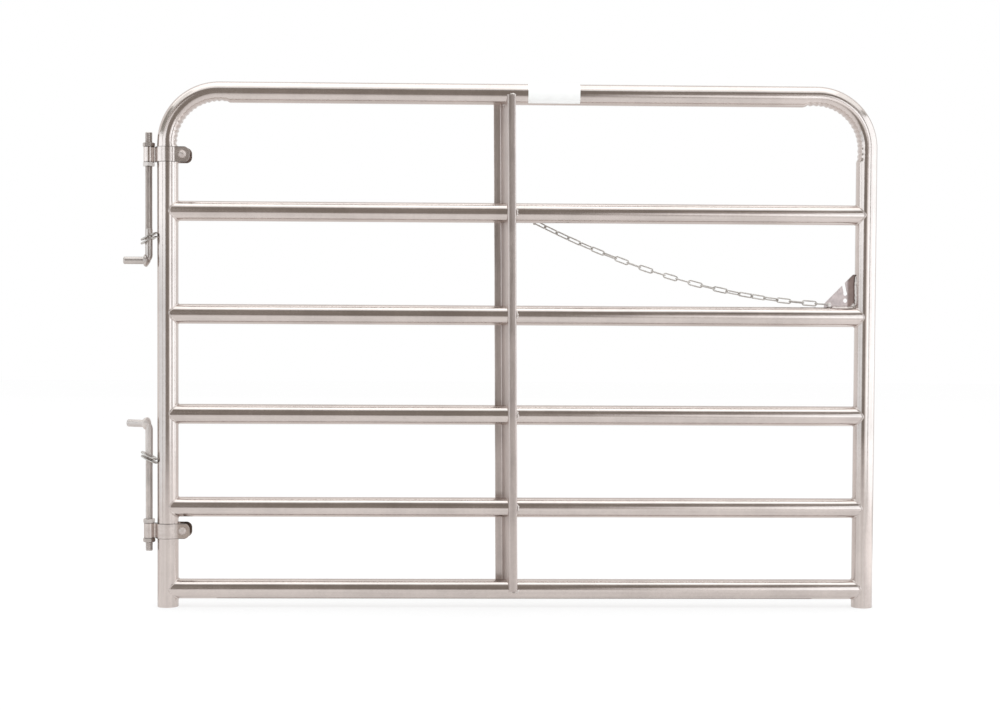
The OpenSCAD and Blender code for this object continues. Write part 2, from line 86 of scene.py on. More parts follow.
class GateSizes(bpy.types.PropertyGroup):
    """Sizes of the details that the solids leave plain."""
    crimp_pitch: FloatProperty(
        name="Crimp pitch", description="Distance between two crimps, along the tube's axis",
        default=0.0142, min=0.008, max=0.03, unit="LENGTH")
    crimp_depth: FloatProperty(
        name="Crimp depth", description="Height of a crimp, from its hollow to its ridge",
        default=0.0022, min=0.0, max=0.008, unit="LENGTH")
    crimp_press: FloatProperty(
        name="Bend flattening", description="How far the inside of a bend is pressed in, on average",
        default=0.0044, min=0.0, max=0.01, unit="LENGTH")
    crimp_run: FloatProperty(
        name="Crimp run-out", description="How far the crimps run on past the left bend, along the top bar",
        default=0.026, min=0.0, max=0.05, unit="LENGTH")
    thread_pitch: FloatProperty(
        name="Thread pitch", description="Pitch of the hook bolts' thread",
        default=0.00231, min=0.001, max=0.004, unit="LENGTH")
    thread_depth: FloatProperty(
        name="Thread depth", description="Depth of the hook bolts' thread",
        default=0.0013, min=0.0, max=0.002, unit="LENGTH")
    thread_len: FloatProperty(
        name="Thread length", description="Length of the hook bolts' thread",
        default=0.235, min=0.03, max=0.26, unit="LENGTH")
    bead: FloatProperty(
        name="Weld bead", description="Half the width of a weld bead",
        default=0.0031, min=0.001, max=0.006, unit="LENGTH")
    bead_ripple: FloatProperty(
        name="Weld ripple", description="Distance between two ripples of a weld bead",
        default=0.0034, min=0.001, max=0.008, unit="LENGTH")
    fold_r: FloatProperty(
        name="Fold radius", description="Outside radius of the brace's folds",
        default=0.006, min=0.003, max=0.01, unit="LENGTH")
    around: IntProperty(
        name="Tube faces", description="Faces around a tube", default=64, min=24, max=128)


class GateColours(bpy.types.PropertyGroup):
    """Colours of the finishes and of the studio."""
    tube: FloatVectorProperty(
        name="Tube", description="Zinc coat of the tubes and straps",
        subtype="COLOR", default=(0.615, 0.545, 0.512), min=0, max=1)
    sheet: FloatVectorProperty(
        name="Sheet", description="Zinc coat of the brace",
        subtype="COLOR", default=(0.545, 0.475, 0.445), min=0, max=1)
    plate: FloatVectorProperty(
        name="Plate", description="Dark, dull zinc of the latch plate",
        subtype="COLOR", default=(0.565, 0.485, 0.475), min=0, max=1)
    plated: FloatVectorProperty(
        name="Plated", description="Dull zinc of bolts, nuts and washers",
        subtype="COLOR", default=(0.52, 0.47, 0.44), min=0, max=1)
    chain: FloatVectorProperty(
        name="Chain", description="Plated chain",
        subtype="COLOR", default=(0.56, 0.53, 0.50), min=0, max=1)
    weld: FloatVectorProperty(
        name="Weld", description="Weld metal beside the brace",
        subtype="COLOR", default=(0.7, 0.645, 0.615), min=0, max=1)
    bright: FloatVectorProperty(
        name="Bright weld", description="Fresh weld metal over the chain's end",
        subtype="COLOR", default=(0.86, 0.82, 0.8), min=0, max=1)
    label: FloatVectorProperty(
        name="Label", description="Blank label film",
        subtype="COLOR", default=(0.9, 0.9, 0.89), min=0, max=1)
    floor: FloatVectorProperty(
        name="Floor", description="Pale studio floor",
        subtype="COLOR", default=(0.98, 0.98, 0.98), min=0, max=1)


def smooth_step(x):
    """0 below 0, 1 above 1, and 3x2 - 2x3 between."""
    x = np.clip(x, 0.0, 1.0)
    return x * x * (3.0 - 2.0 * x)


def drift(rng, count, waves):
    """A seeded wandering value along a line: a sum of a few sine waves of random phase, about -1 to 1."""
    t = np.linspace(0.0, 1.0, count)
    k = np.arange(1, waves + 1)[:, None]
    wave = np.sin(2 * np.pi * (k * t + rng.random((waves, 1)))) * rng.uniform(0.3, 1.0, (waves, 1))
    return wave.sum(0) / math.sqrt(waves)


def unit(v):
    """Vectors of length one along the last axis."""
    return v / np.linalg.norm(v, axis=-1, keepdims=True)


def brace_x(z):
    """Middle of the brace's section at a height: the brace leans, its foot to the latch."""
    middle = (BRACE_LO.x + BRACE_HI.x + BRACE_BACK - BRACE_FRONT) / 2
    return middle + ((BRACE_LO.z + BRACE_HI.z) / 2 - z) * BRACE_LEAN


def grid_faces(rows, cols, wrap_rows=False, base=0):
    """Quads of a grid whose columns always close round; its rows close too if asked."""
    i = np.arange(rows if wrap_rows else rows - 1)[:, None]
    j = np.arange(cols)[None, :]
    i2, j2 = (i + 1) % rows, (j + 1) % cols
    quads = np.stack([i * cols + j, i2 * cols + j, i2 * cols + j2, i * cols + j2], -1)
    return quads.reshape(-1, 4) + base


def cap_faces(first, cols, pole, flip):
    """A fan of triangles from one ring to its pole."""
    j = np.arange(cols)
    a, b = first + j, first + (j + 1) % cols
    tri = np.stack([a, b, np.full(cols, pole)], 1)
    return tri[:, ::-1] if flip else tri


def end_caps(rows, cols, pole):
    """Fans at both ends of a grid, to two poles that follow each other."""
    last = (rows - 1) * cols
    return np.concatenate([cap_faces(0, cols, pole, False), cap_faces(last, cols, pole + 1, True)])


def rim_faces(outer, inner, count, flip):
    """Quads across a tube's end, between an outer ring and an inner one that start at these points."""
    j = np.arange(count)
    j2 = (j + 1) % count
    quads = np.stack([outer + j, outer + j2, inner + j2, inner + j], 1)
    return quads[:, [1, 0, 3, 2]] if flip else quads


def signed_volume(points, quads, tris):
    """Volume inside the faces, positive when they point outwards."""
    every = np.concatenate([quads[:, [0, 1, 2]], quads[:, [0, 2, 3]], tris])
    a, b, c = points[every[:, 0]], points[every[:, 1]], points[every[:, 2]]
    return np.einsum("ij,ij->", a, np.cross(b, c))


def new_object(name, data):
    """An object of the scene, at the origin."""
    obj = bpy.data.objects.new(name, data)
    bpy.context.scene.collection.objects.link(obj)
    return obj


def make_piece(name, parts, material, body, stands_for, sharp=None):
    """Joins (points, quads, triangles, uv) parts into one mesh at the origin and dresses it.
    Each part is turned so that its faces point outwards. uv has one pair for each point."""
    points, faces, uvs, base = [], [], [], 0
    for pts, quads, tris, uv in parts:
        tris = np.zeros((0, 3), int) if tris is None else tris
        if signed_volume(pts, quads, tris) < 0:
            quads, tris = quads[:, ::-1], tris[:, ::-1]
        points.append(pts)
        uvs.append(uv)
        faces += (quads + base).tolist() + (tris + base).tolist()
        base += len(pts)
    mesh = bpy.data.meshes.new(name)
    mesh.from_pydata(np.concatenate(points).tolist(), [], faces)
    layer = mesh.uv_layers.new(name="along_round")
    corner = np.zeros(len(mesh.loops), np.int32)
    mesh.loops.foreach_get("vertex_index", corner)
    layer.data.foreach_set("uv", np.concatenate(uvs)[corner].astype(np.float32).ravel())
    mesh.shade_smooth()
    if sharp is not None:
        mesh.set_sharp_from_angle(angle=math.radians(sharp))
    mesh.materials.append(material)
    obj = new_object(name, mesh)
    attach(obj, body)
    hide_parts(*stands_for)


def carried_ring(centres, e1, e2, r1, r2, round_at):
    """A profile carried along a path: centre + r1 cos(a) e1 + r2 sin(a) e2, one row for each centre."""
    cos, sin = np.cos(round_at)[None, :, None], np.sin(round_at)[None, :, None]
    return centres[:, None] + r1[..., None] * cos * e1[:, None] + r2[..., None] * sin * e2[:, None]


def path_length(centres):
    """Distance along a path of points, from its start."""
    return np.concatenate([[0.0], np.cumsum(np.linalg.norm(np.diff(centres, axis=0), axis=1))])


def tube_uv(along, round_at, radius):
    """UV in metres: distance along the tube, and round it."""
    u, v = np.meshgrid(along, np.asarray(round_at) * radius, indexing="ij")
    return np.stack([u, v], -1).reshape(-1, 2)


def round_angles(count):
    """Equal angles round a circle, the last one short of the first."""
    return np.arange(count) * (2 * np.pi / count)


def frame_path(step_fine, step_coarse, run):
    """Centre line of the bent tube: up the left post, round its bend, along the top, and down the right post.
    Gives the distance along it, centres, the inward direction and how deep in a crimped stretch each point
    is, from 0 to 1."""
    bend_z = TOP_Z - BEND_R
    arc = BEND_R * math.pi / 2
    top = RIGHT_X - LEFT_X - 2 * BEND_R
    marks = np.cumsum([0.0, bend_z, arc, top, arc, bend_z])
    lead = 0.012
    # The right bend's crimps run on further, both ways
    far = 1.3 * run
    zones = [(marks[1] - lead, marks[2] + run), (marks[3] - far, marks[4] + far)]
    edges = [0.0, zones[0][0], zones[0][1], zones[1][0], zones[1][1], marks[5]]
    steps = [step_coarse, step_fine, step_coarse, step_fine, step_coarse]
    s = np.concatenate([np.linspace(a, b, max(2, round((b - a) / h)), endpoint=False)
                        for a, b, h in zip(edges[:-1], edges[1:], steps)] + [[marks[5]]])
    left_bend = np.clip(s - marks[1], 0, arc) / BEND_R
    right_bend = np.clip(s - marks[3], 0, arc) / BEND_R
    turn = left_bend + right_bend
    x = LEFT_X + BEND_R * (1 - np.cos(left_bend)) + np.clip(s - marks[2], 0, top)
    x += BEND_R * np.sin(right_bend)
    z = np.clip(s, 0, bend_z) + BEND_R * np.sin(left_bend) - BEND_R * (1 - np.cos(right_bend))
    z -= np.clip(s - marks[4], 0, None)
    centres = np.stack([x, np.zeros_like(x), z], 1)
    inward = np.stack([np.cos(turn), np.zeros_like(turn), -np.sin(turn)], 1)
    fade = 0.014
    deep = sum(smooth_step((s - a) / fade) * smooth_step((b - s) / fade) for a, b in zones)
    return s, centres, inward, deep


def frame_tube_parts(sizes):
    """Outer skin: circle of the tube's radius, pressed in and crimped on the bends' inner side.
    Radius at angle a from the inward direction = R - deep * g(a) * (press + depth/2 * wave(s)),
    where g = cos(a) to the power 2.6 on the inner half. The bore is a plain circle."""
    rng = np.random.default_rng(11)
    fine, coarse = 0.0012, 0.03
    s, centres, inward, deep = frame_path(fine, coarse, sizes.crimp_run)
    count = sizes.around
    angle = round_angles(count)
    inner = np.clip(np.cos(angle), 0, 1) ** 2.6
    phase = s / sizes.crimp_pitch + 0.08 * drift(rng, len(s), 40)
    wave = np.cos(2 * np.pi * phase)
    wave = wave * (1 + 0.3 * drift(rng, len(s), 30))
    press = deep * (sizes.crimp_press + 0.5 * sizes.crimp_depth * wave)
    r_out = TUBE_R - press[:, None] * inner[None]
    r_side = np.full_like(r_out, TUBE_R)
    side = np.repeat(BACK[None], len(s), 0)
    outer = carried_ring(centres, inward, side, r_out, r_side, angle)
    keep = np.unique(np.concatenate([np.arange(0, len(s), 6), [len(s) - 1]]))
    bore_r = TUBE_R - TUBE_WALL - deep * (sizes.crimp_press + sizes.crimp_depth)
    r_in = np.repeat(bore_r[keep][:, None], count, 1)
    bore = carried_ring(centres[keep], inward[keep], side[keep], r_in, r_in, angle)
    n_out, n_in = len(s), len(keep)
    points = np.concatenate([outer.reshape(-1, 3), bore.reshape(-1, 3)])
    base = n_out * count
    skin = grid_faces(n_out, count)
    lining = grid_faces(n_in, count, base=base)[:, ::-1]
    left_foot = rim_faces(0, base, count, False)
    right_foot = rim_faces((n_out - 1) * count, base + (n_in - 1) * count, count, True)
    uv = np.concatenate([tube_uv(s, angle, TUBE_R), tube_uv(s[keep], angle, TUBE_R)])
    return [(points, np.concatenate([skin, lining, left_foot, right_foot]), None, uv)]


def rail_parts(z, seed, count):
    """A rail: circle of the rail's radius from saddle to saddle, with its bore. A saddle is
    x = post axis +- sqrt(R2 - (r sin a)2), and the tube has the faint waviness of a drawn one."""
    rng = np.random.default_rng(seed)
    rows = 60
    waviness = 0.0001
    angle = round_angles(count)
    share = np.linspace(0, 1, rows)
    wobble = waviness * drift(rng, rows, 7)
    shells = []
    for r in (RAIL_R, RAIL_R - TUBE_WALL):
        y, up = r * np.sin(angle), r * np.cos(angle)
        cope = np.sqrt((TUBE_R + SEAT_GAP) ** 2 - y ** 2)
        x = (LEFT_X + cope)[None] * (1 - share)[:, None] + (RIGHT_X - cope)[None] * share[:, None]
        swell = 1 + wobble[:, None] / r * np.cos(2 * angle)[None]
        shells.append(np.stack([x, y[None] * swell, z + up[None] * swell], -1))
    points = np.concatenate([shell.reshape(-1, 3) for shell in shells])
    base = rows * count
    last = (rows - 1) * count
    skin = grid_faces(rows, count)
    lining = grid_faces(rows, count, base=base)[:, ::-1]
    left_end = rim_faces(0, base, count, False)
    right_end = rim_faces(last, base + last, count, True)
    quads = np.concatenate([skin, lining, left_end, right_end])
    along = share * (RIGHT_X - LEFT_X) + seed * 0.37
    uv = np.concatenate([tube_uv(along, angle, RAIL_R)] * 2)
    return [(points, quads, None, uv)]


def bead_parts(path, out, sizes, seed, closed, width=1.0, height=1.0, lumps=0.22):
    """A weld bead: an ellipse carried along a path, its size going up and down with each ripple and wandering
    with the welder's hand. out is the direction that the bead stands up in, at each point of the path."""
    rng = np.random.default_rng(seed)
    rows, count = len(path), 14
    angle = round_angles(count)
    if closed:
        tangent = unit(np.roll(path, -1, 0) - np.roll(path, 1, 0))
    else:
        tangent = unit(np.gradient(path, axis=0))
    side = unit(np.cross(tangent, out))
    rise = unit(np.cross(side, tangent))
    s = path_length(path)
    ripple = np.abs(np.sin(np.pi * s / sizes.bead_ripple)) ** 0.6
    size = sizes.bead * (0.82 + 0.2 * ripple + lumps * drift(rng, rows, 9))
    if not closed:
        size *= np.sqrt(np.clip(1 - np.abs(np.linspace(-1, 1, rows)) ** 6, 0.02, 1))
    skew = 0.3 * sizes.bead * drift(rng, rows, 12)
    centre = path + side * skew[:, None]
    wide = np.repeat((size * width)[:, None], count, 1)
    high = np.repeat((size * height * 0.8)[:, None], count, 1)
    rings = carried_ring(centre, side, rise, wide, high, angle)
    points = rings.reshape(-1, 3)
    quads = grid_faces(rows, count, wrap_rows=closed)
    tris = None
    uv = tube_uv(s, angle, sizes.bead)
    if not closed:
        points = np.concatenate([points, path[[0, -1]]])
        uv = np.concatenate([uv, [[0, 0], [s[-1], 0]]])
        tris = end_caps(rows, count, len(points) - 2)
    return (points, quads, tris, uv)


def saddle_bead(post_x, side, z, sizes, seed):
    """The bead all round one rail's end, along the curve where the rail's and the post's surfaces meet."""
    angle = round_angles(240)
    y, up = RAIL_R * np.sin(angle), RAIL_R * np.cos(angle)
    x = np.sqrt(TUBE_R ** 2 - y ** 2)
    path = np.stack([post_x + side * x, y, z + up], 1)
    from_rail = np.stack([np.zeros_like(y), y, up], 1) / RAIL_R
    from_post = np.stack([side * x, y, np.zeros_like(y)], 1) / TUBE_R
    return bead_parts(path, unit(from_rail + from_post), sizes, seed, True, 0.75, 0.7, 0.36)


def crossing_bead(x, z, radius, sizes, seed):
    """A C-shaped bead on the front of a level tube, open to the left, where the brace's edge meets it."""
    opening, reach, spread = 1.9, 0.005, 0.4
    t = np.linspace(-opening, opening, BEAD_ROWS)
    tilt = spread * np.sin(t)
    out = np.stack([np.zeros_like(t), -np.cos(tilt), np.sin(tilt)], 1)
    path = np.array([x, 0.0, z]) + radius * out
    path[:, 0] += reach * np.cos(t)
    return bead_parts(path, out, sizes, seed, False, 0.8, 0.9, 0.34)


def line_bead(a, b, out, sizes, seed, width=1.0, height=1.0):
    """A straight bead from a to b."""
    share = np.linspace(0, 1, BEAD_ROWS)[:, None]
    path = np.array(a) * (1 - share) + np.array(b) * share
    outs = np.repeat(np.array([out], float), BEAD_ROWS, 0)
    return bead_parts(path, outs, sizes, seed, False, width, height)


def turned_parts(origin, axis, stations, count):
    """A turned form: circles about a line through origin, each given as (distance along, radius), with
    a pole at both ends."""
    away = unit(np.cross(axis, UP if abs(axis[2]) < 0.9 else BACK))
    along, radius = np.array(stations).T
    angle = round_angles(count)
    centres = origin + along[:, None] * axis
    wide = np.repeat(radius[:, None], count, 1)
    rows = len(along)
    e1, e2 = np.repeat(away[None], rows, 0), np.repeat(np.cross(axis, away)[None], rows, 0)
    rings = carried_ring(centres, e1, e2, wide, wide, angle)
    points = np.concatenate([rings.reshape(-1, 3), centres[[0, -1]]])
    uv = np.concatenate([tube_uv(along, angle, 0.01), [[along[0], 0], [along[-1], 0]]])
    return (points, grid_faces(rows, count), end_caps(rows, count, len(points) - 2), uv)


def hook_bolt_parts(z_end, z_pin, out_dir, pin_len, sizes, seed):
    """A hook bolt: circle of the rod's radius carried down the threaded leg, round the bend and out along
    the pin, and the forged collar at the pin's foot.
    Thread: radius - depth * triangle(s / pitch - angle / turn)."""
    side = 1.0 if z_end > z_pin else -1.0
    down = -side * UP
    leg = abs(z_end - z_pin) - HOOK_R
    arc = HOOK_R * math.pi / 2
    reach = pin_len - HOOK_R
    total = leg + arc + reach
    chamfer = 0.0014
    fine = np.arange(chamfer, sizes.thread_len + 0.01, sizes.thread_pitch / 6)
    s = np.concatenate([fine, np.linspace(fine[-1] + 0.004, leg - 0.004, 8),
                        np.linspace(leg, leg + arc, 24),
                        np.linspace(leg + arc + 0.004, total - chamfer, 16)])
    turn = np.clip(s - leg, 0, arc) / HOOK_R
    fall = np.clip(s, 0, leg) + HOOK_R * np.sin(turn)
    go = HOOK_R * (1 - np.cos(turn)) + np.clip(s - leg - arc, 0, None)
    centres = np.array([0, 0, z_end]) + fall[:, None] * down + go[:, None] * out_dir
    outside = -np.cos(turn)[:, None] * out_dir + np.sin(turn)[:, None] * down
    across = np.repeat(np.cross(out_dir, down)[None], len(s), 0)
    count = 36
    angle = round_angles(count)
    turns = (s / sizes.thread_pitch)[:, None] - (angle / (2 * np.pi))[None]
    tooth = np.abs(2 * (turns % 1.0) - 1)
    in_thread = smooth_step((sizes.thread_len - s) / 0.006)
    radius = ROD_R - sizes.thread_depth * in_thread[:, None] * tooth
    rings = carried_ring(centres, outside, across, radius, radius, angle)
    narrow = np.full((1, count), ROD_R - chamfer)
    tip_a = carried_ring(centres[:1] - chamfer * down, outside[:1], across[:1], narrow, narrow, angle)
    tip_b = carried_ring(centres[-1:] + chamfer * out_dir, outside[-1:], across[-1:], narrow, narrow, angle)
    rows = len(s) + 2
    points = np.concatenate([tip_a, rings, tip_b]).reshape(-1, 3)
    poles = np.array([centres[0] - chamfer * down, centres[-1] + chamfer * out_dir])
    along = np.concatenate([[0.0], s, [total]]) + seed * 0.21
    uv = np.concatenate([tube_uv(along, angle, ROD_R), [[along[0], 0], [along[-1], 0]]])
    rod = (np.concatenate([points, poles]), grid_faces(rows, count), end_caps(rows, count, len(points)), uv)
    # The collar's stations: distance along the pin, and radius
    heel = [(-0.004, 0.001), (-0.003, 0.004), (0.0, 0.0088), (0.0035, 0.0135), (0.0052, COLLAR_R - 0.0002),
            (0.0066, COLLAR_R), (0.0085, 0.0151), (0.0103, 0.0143), (0.0112, 0.0133), (0.0115, 0.012),
            (0.0116, 0.0085)]
    return [rod, turned_parts(np.array([0, 0, z_pin]), out_dir, heel, count)]


def rounded_line(corners, radii, steps=6):
    """A line of points through corners, each inner corner rounded by an arc that touches both its sides."""
    corners = np.array(corners, float)
    line = [corners[:1]]
    for before, at, after, r in zip(corners[:-2], corners[1:-1], corners[2:], radii):
        a, b = unit(before - at), unit(after - at)
        half = math.acos(np.clip(a @ b, -1, 1)) / 2
        centre = at + unit(a + b) * r / math.sin(half)
        start, end = at + a * r / math.tan(half) - centre, at + b * r / math.tan(half) - centre
        share = np.linspace(0, 1, steps)[:, None]
        line.append(centre + unit(start * (1 - share) + end * share) * r)
    line.append(corners[-1:])
    return np.concatenate(line)


def brace_parts(sizes):
    """The folded brace: a Z-shaped strip of sheet, its two folds rounded, carried from its foot to its top.
    The strip is its middle line pushed half the sheet's thickness to both sides, its free edges half round,
    the front one rolled back a little."""
    rng = np.random.default_rng(5)
    sheet = 0.0025
    depth = (BRACE_HI.y - BRACE_LO.y - sheet) / 2
    fold = sizes.fold_r - sheet / 2
    half = sheet / 2
    roll, lip = 0.0026, 0.0045
    turn = BRACE_SLANT / 2
    edge = turn + BRACE_FRONT - half
    corners = [(half - turn - BRACE_BACK, depth), (-turn, depth), (turn, -depth), (edge, -depth),
               (edge, lip - depth)]
    line = rounded_line(corners, [fold, fold, roll])
    tangent = unit(np.gradient(line, axis=0))
    normal = np.stack([-tangent[:, 1], tangent[:, 0]], 1)
    lean_out = np.radians([22.5, 67.5])[:, None]
    sides = []
    for flip in (1, -1):
        start = line[0] + half * (flip * np.sin(lean_out) * normal[0] - np.cos(lean_out) * tangent[0])
        end = line[-1] + half * (flip * np.sin(lean_out) * normal[-1] + np.cos(lean_out) * tangent[-1])
        sides.append(np.concatenate([start, line + flip * normal * half, end[::-1]]))
    loop = np.concatenate([sides[0], sides[1][::-1]])
    rows = 50
    z = np.linspace(BRACE_LO.z, BRACE_HI.z, rows)
    middle = brace_x(z) + 0.0003 * drift(rng, rows, 5)
    x = middle[:, None] + loop[None, :, 0]
    y = np.repeat(loop[None, :, 1], rows, 0)
    points = np.stack([x, y, np.repeat(z[:, None], len(loop), 1)], -1).reshape(-1, 3)
    count = len(loop)
    k = np.arange(count // 2 - 1)
    strip = np.stack([k, k + 1, count - 2 - k, count - 1 - k], 1)
    quads = np.concatenate([grid_faces(rows, count), strip, strip[:, ::-1] + (rows - 1) * count])
    uv = tube_uv(z, np.arange(count) * 0.004, 1.0)
    return [(points, quads, None, uv)]


def add_node(tree, kind, place, **values):
    """A shader node of a kind, with its settings, and its input values under names that begin with in_."""
    node = tree.nodes.new("ShaderNode" + kind)
    node.location = place
    for key, value in values.items():
        if key.startswith("in_"):
            node.inputs[key[3:].replace("_", " ")].default_value = value
        else:
            setattr(node, key, value)
    return node


def new_material(name):
    """A material, its node tree and its surface shader."""
    material = bpy.data.materials.new(name)
    material.use_nodes = True
    return material, material.node_tree, material.node_tree.nodes["Principled BSDF"]


def metal_finish(name, colour, rough, stretch, speckle, stain, bump, along):
    """A zinc finish: streaks along the piece, the crystal patches of hot zinc, and stains.
    stretch is streaks per metre along and across; rough is the range of roughness; speckle and stain are
    how much the patches and the stains darken the colour; along lays the streaks by UV."""
    material, tree, shader = new_material(name)
    shader.inputs["Metallic"].default_value = 1.0
    link = tree.links.new
    where = add_node(tree, "TexCoord", (-1300, 0))
    source = where.outputs["UV" if along else "Object"]
    streak_map = add_node(tree, "Mapping", (-1100, 200), in_Scale=stretch)
    streak = add_node(tree, "TexNoise", (-900, 200), in_Scale=1.0, in_Detail=5.0, in_Roughness=0.6)
    patch = add_node(tree, "TexVoronoi", (-900, -50), in_Scale=170.0, in_Randomness=1.0)
    stains = add_node(tree, "TexNoise", (-900, -300), in_Scale=9.0, in_Detail=6.0,
                      in_Roughness=0.62)
    link(source, streak_map.inputs["Vector"])
    link(streak_map.outputs["Vector"], streak.inputs["Vector"])
    link(where.outputs["Object"], patch.inputs["Vector"])
    link(where.outputs["Object"], stains.inputs["Vector"])
    tone = add_node(tree, "Mix", (-450, 250), data_type="RGBA",
                    in_A=(*[c * (1 - stain) for c in colour], 1),
                    in_B=(*[min(1, c * (1 + 0.35 * stain)) for c in colour], 1))
    ramp = add_node(tree, "MapRange", (-650, 250), interpolation_type="SMOOTHSTEP",
                    in_From_Min=0.32, in_From_Max=0.62)
    mixed = add_node(tree, "Math", (-780, 100), operation="ADD")
    halved = add_node(tree, "Math", (-700, 0), operation="MULTIPLY")
    halved.inputs[1].default_value = 0.5
    link(streak.outputs["Fac"], mixed.inputs[0])
    link(stains.outputs["Fac"], mixed.inputs[1])
    link(mixed.outputs[0], halved.inputs[0])
    link(halved.outputs[0], ramp.inputs["Value"])
    link(ramp.outputs["Result"], tone.inputs["Factor"])
    crystal = add_node(tree, "Mix", (-250, 200), data_type="RGBA", blend_type="MULTIPLY", in_Factor=speckle)
    link(tone.outputs["Result"], crystal.inputs["A"])
    grey = add_node(tree, "MapRange", (-650, -50), in_To_Min=0.55)
    link(patch.outputs["Color"], grey.inputs["Value"])
    link(grey.outputs["Result"], crystal.inputs["B"])
    link(crystal.outputs["Result"], shader.inputs["Base Color"])
    dull = add_node(tree, "MapRange", (-450, -150), in_From_Min=0.3, in_From_Max=0.7,
                    in_To_Min=rough[0], in_To_Max=rough[1])
    link(halved.outputs[0], dull.inputs["Value"])
    link(dull.outputs["Result"], shader.inputs["Roughness"])
    grain = add_node(tree, "TexNoise", (-900, -550), in_Scale=420.0, in_Detail=3.0)
    link(where.outputs["Object"], grain.inputs["Vector"])
    relief = add_node(tree, "Bump", (-250, -350), in_Strength=bump, in_Distance=0.001)
    link(grain.outputs["Fac"], relief.inputs["Height"])
    link(relief.outputs["Normal"], shader.inputs["Normal"])
    return material


def label_finish(colour):
    """Blank label film: white, half glossy, a little greyed and uneven where it has been rubbed."""
    material, tree, shader = new_material("label_film")
    link = tree.links.new
    where = add_node(tree, "TexCoord", (-900, 0))
    rub = add_node(tree, "TexNoise", (-700, 0), in_Scale=60.0, in_Detail=6.0)
    link(where.outputs["Object"], rub.inputs["Vector"])
    tone = add_node(tree, "Mix", (-450, 100), data_type="RGBA", in_A=(*[c * 0.94 for c in colour], 1),
                    in_B=(*colour, 1))
    link(rub.outputs["Fac"], tone.inputs["Factor"])
    link(tone.outputs["Result"], shader.inputs["Base Color"])
    dull = add_node(tree, "MapRange", (-450, -150), in_To_Min=0.3, in_To_Max=0.5)
    link(rub.outputs["Fac"], dull.inputs["Value"])
    link(dull.outputs["Result"], shader.inputs["Roughness"])
    return material


def finish(name):
    """A finish by its name, made once from the colours that are set."""
    if name in bpy.data.materials:
        return bpy.data.materials[name]
    colours = bpy.context.scene.gate_colours
    if name == "label_film":
        return label_finish(colours.label)
    # Each recipe: colour, roughness, streaks, speckle, stain, bump, and whether the streaks follow UV
    recipes = {
        "tube_zinc": (colours.tube, (0.10, 0.22), (1.6, 120.0, 1.0), 0.10, 0.13, 0.02, True),
        "upper_strap_zinc": (colours.tube, (0.16, 0.28), (30.0, 30.0, 60.0), 0.12, 0.14, 0.02, False),
        "lower_strap_zinc": (colours.tube, (0.16, 0.28), (30.0, 30.0, 60.0), 0.12, 0.14, 0.02, False),
        "sheet_zinc": (colours.sheet, (0.3, 0.44), (110.0, 110.0, 5.0), 0.14, 0.16, 0.03, False),
        "plate_zinc": (colours.plate, (0.35, 0.55), (60.0, 60.0, 60.0), 0.14, 0.34, 0.04, False),
        "upper_bolt_zinc": (colours.plated, (0.24, 0.38), (20.0, 60.0, 1.0), 0.10, 0.20, 0.02, True),
        # Painted light: the lower hook bolt takes the paler weld colour, lighter than the upper bolt's coat;
        # it is also rougher
        "lower_bolt_zinc": (colours.weld, (0.5, 0.65), (20.0, 60.0, 1.0), 0.10, 0.20, 0.02, True),
        "fastener_zinc": (colours.plated, (0.2, 0.36), (60.0, 60.0, 60.0), 0.08, 0.16, 0.03, False),
        "chain_zinc": (colours.chain, (0.3, 0.46), (70.0, 70.0, 70.0), 0.06, 0.20, 0.05, False),
        "washer_zinc": (colours.chain, (0.3, 0.45), (60.0, 60.0, 60.0), 0.08, 0.16, 0.03, False),
        "bolt_head": (colours.tube, (0.45, 0.6), (60.0, 60.0, 60.0), 0.08, 0.2, 0.03, False),
        "brace_bead": (colours.weld, (0.24, 0.4), (120.0, 120.0, 1.0), 0.05, 0.22, 0.08, True),
        "coated_bead": (colours.tube, (0.14, 0.3), (120.0, 120.0, 1.0), 0.05, 0.14, 0.03, True),
        "plate_bead": (colours.weld, (0.3, 0.46), (150.0, 150.0, 1.0), 0.1, 0.26, 0.06, True),
        "bright_bead": (colours.bright, (0.5, 0.7), (120.0, 120.0, 1.0), 0.05, 0.16, 0.08, True),
    }
    return metal_finish(name, *recipes[name])


def darkened(material, axis, centre, start, end, tint):
    """Darkens a finish by place: the colour is multiplied by tint where the distance from centre,
    along an axis, has run from start to end."""
    tree = material.node_tree
    base = tree.nodes["Principled BSDF"].inputs["Base Color"]
    colour = base.links[0].from_socket
    where = add_node(tree, "TexCoord", (-1300, 600))
    split = add_node(tree, "SeparateXYZ", (-1100, 600))
    away = add_node(tree, "Math", (-900, 600), operation="SUBTRACT")
    away.inputs[1].default_value = centre
    size = add_node(tree, "Math", (-700, 600), operation="ABSOLUTE")
    ramp = add_node(tree, "MapRange", (-500, 600), interpolation_type="SMOOTHSTEP",
                    in_From_Min=start, in_From_Max=end)
    # The tint paints shade where it is used on the straps' edges and on the latch plate
    place_tint = add_node(tree, "Mix", (-300, 600), data_type="RGBA", in_A=(1, 1, 1, 1), in_B=(*tint, 1))
    shade = add_node(tree, "Mix", (-100, 400), data_type="RGBA", blend_type="MULTIPLY", in_Factor=1.0)
    link = tree.links.new
    link(where.outputs["Object"], split.inputs[0])
    link(split.outputs[axis], away.inputs[0])
    link(away.outputs[0], size.inputs[0])
    link(size.outputs[0], ramp.inputs["Value"])
    link(colour, shade.inputs["A"])
    link(ramp.outputs["Result"], place_tint.inputs["Factor"])
    link(place_tint.outputs["Result"], shade.inputs["B"])
    link(shade.outputs["Result"], base)
    return material


def dress(material, *nodes):
    """Gives CAD nodes a finish, their shapes as they are."""
    for name in nodes:
        slots = frame["nodes"][name].data.materials
        slots.clear()
        slots.append(material)


